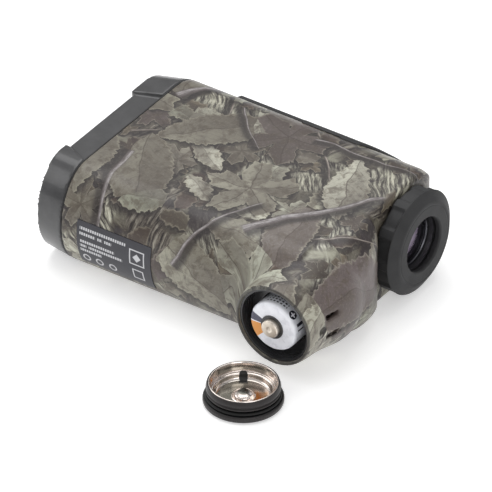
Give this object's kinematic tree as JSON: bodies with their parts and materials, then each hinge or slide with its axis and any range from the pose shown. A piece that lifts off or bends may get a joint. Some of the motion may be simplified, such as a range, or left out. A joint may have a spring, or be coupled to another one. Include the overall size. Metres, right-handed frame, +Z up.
{
  "type": "laser rangefinder",
  "caption": "Pocket monocular laser rangefinder lying on its side, camouflage film on a flat rounded body, battery tube open and its screw cap set down beside it.",
  "frame": {"origin": "on the flat side the instrument lies on, straight below the optical axis, near the middle of the body's length", "axes": "+X along the optical axis from objective to eyepiece; +Y towards the instrument's top with its buttons; +Z up, out of the side it lies on"},
  "size_m": [0.1019, 0.1075, 0.033],
  "materials": {
    "camo_shell": "satin camouflage film over moulded plastic",
    "black_plastic": "semi-gloss moulded plastic",
    "black_rubber": "matte moulded rubber",
    "black_metal": "black anodised",
    "coated_glass": "anti-reflection coated",
    "steel": "bright",
    "nickel": "warm nickel plate",
    "circuit_board": "solder mask",
    "ribbon_film": "amber film",
    "battery_wrap": "printed shrink sleeve",
    "label_film": "printed label"
  },
  "bodies": {
    "chassis": {"battery_tube": "black_plastic", "beam_splitter_prism": "coated_glass", "bezel_gasket": "black_rubber", "board_chips": "black_plastic", "board_screws": "steel", "button_board": "circuit_board", "display_panel": "coated_glass", "eyepiece_barrel": "black_plastic", "field_lens": "coated_glass", "field_lens_ring": "black_metal", "frame_screws": "steel", "front_bezel": "black_plastic", "label_plate": "label_film", "laser_diode": "steel", "laser_lens": "coated_glass", "laser_lens_tube": "black_metal", "laser_retaining_ring": "black_metal", "main_board": "circuit_board", "main_housing": "camo_shell", "measure_switch": "black_plastic", "mode_switch": "black_plastic", "negative_contact": "nickel", "negative_spring": "nickel", "objective_cell": "black_metal", "objective_lens": "coated_glass", "objective_retaining_ring": "black_metal", "optical_frame": "black_plastic", "photodiode_receiver": "steel", "positive_contact_strip": "nickel", "prism_holder": "black_plastic", "receiver_board": "circuit_board", "ribbon_cable": "ribbon_film", "roof_prism": "coated_glass", "top_pad": "black_rubber"},
    "diopter": {"diopter_ring": "black_plastic", "rubber_eyecup": "black_rubber"},
    "ocular": {"ocular_cell": "black_metal", "ocular_lens": "coated_glass", "ocular_retaining_ring": "black_metal"},
    "measure_key": {"measure_button": "black_rubber"},
    "mode_key": {"mode_button": "black_rubber"},
    "battery": {"battery_cell": "battery_wrap", "battery_insulator": "black_plastic", "battery_terminal": "nickel"},
    "cap": {"cap_shell": "black_plastic", "cap_contact_cup": "nickel", "cap_contact_dome": "nickel", "cap_seal_ring": "black_rubber"}
  },
  "joints": [
    {"name": "ocular_focus", "type": "slide", "parent": "chassis", "child": "ocular", "axis": [1, 0, 0], "range_m": [-0.0013, 0.0013]},
    {"name": "diopter_turn", "type": "hinge", "parent": "chassis", "child": "diopter", "pos_m": [0.045, 0, 0.0165], "axis": [1, 0, 0], "range_deg": [-150, 150]},
    {"name": "measure_press", "type": "slide", "parent": "chassis", "child": "measure_key", "axis": [0, -1, 0], "range_m": [0, 0.0008], "stiffness_N_per_m": 400, "springref_m": -0.001},
    {"name": "mode_press", "type": "slide", "parent": "chassis", "child": "mode_key", "axis": [0, -1, 0], "range_m": [0, 0.0008], "stiffness_N_per_m": 400, "springref_m": -0.001},
    {"name": "battery_slide", "type": "slide", "parent": "chassis", "child": "battery", "axis": [0, -1, 0], "range_m": [-0.0045, 0.03], "deforming": ["negative_spring"]},
    {"name": "cap_aside", "type": "slide", "parent": "chassis", "child": "cap", "axis": [0, -1, 0], "range_m": [0, 0.04]}
  ],
  "couplings": [
    {"joint": "diopter_turn", "follows": "ocular_focus", "rad_per_m": 2000}
  ]
}
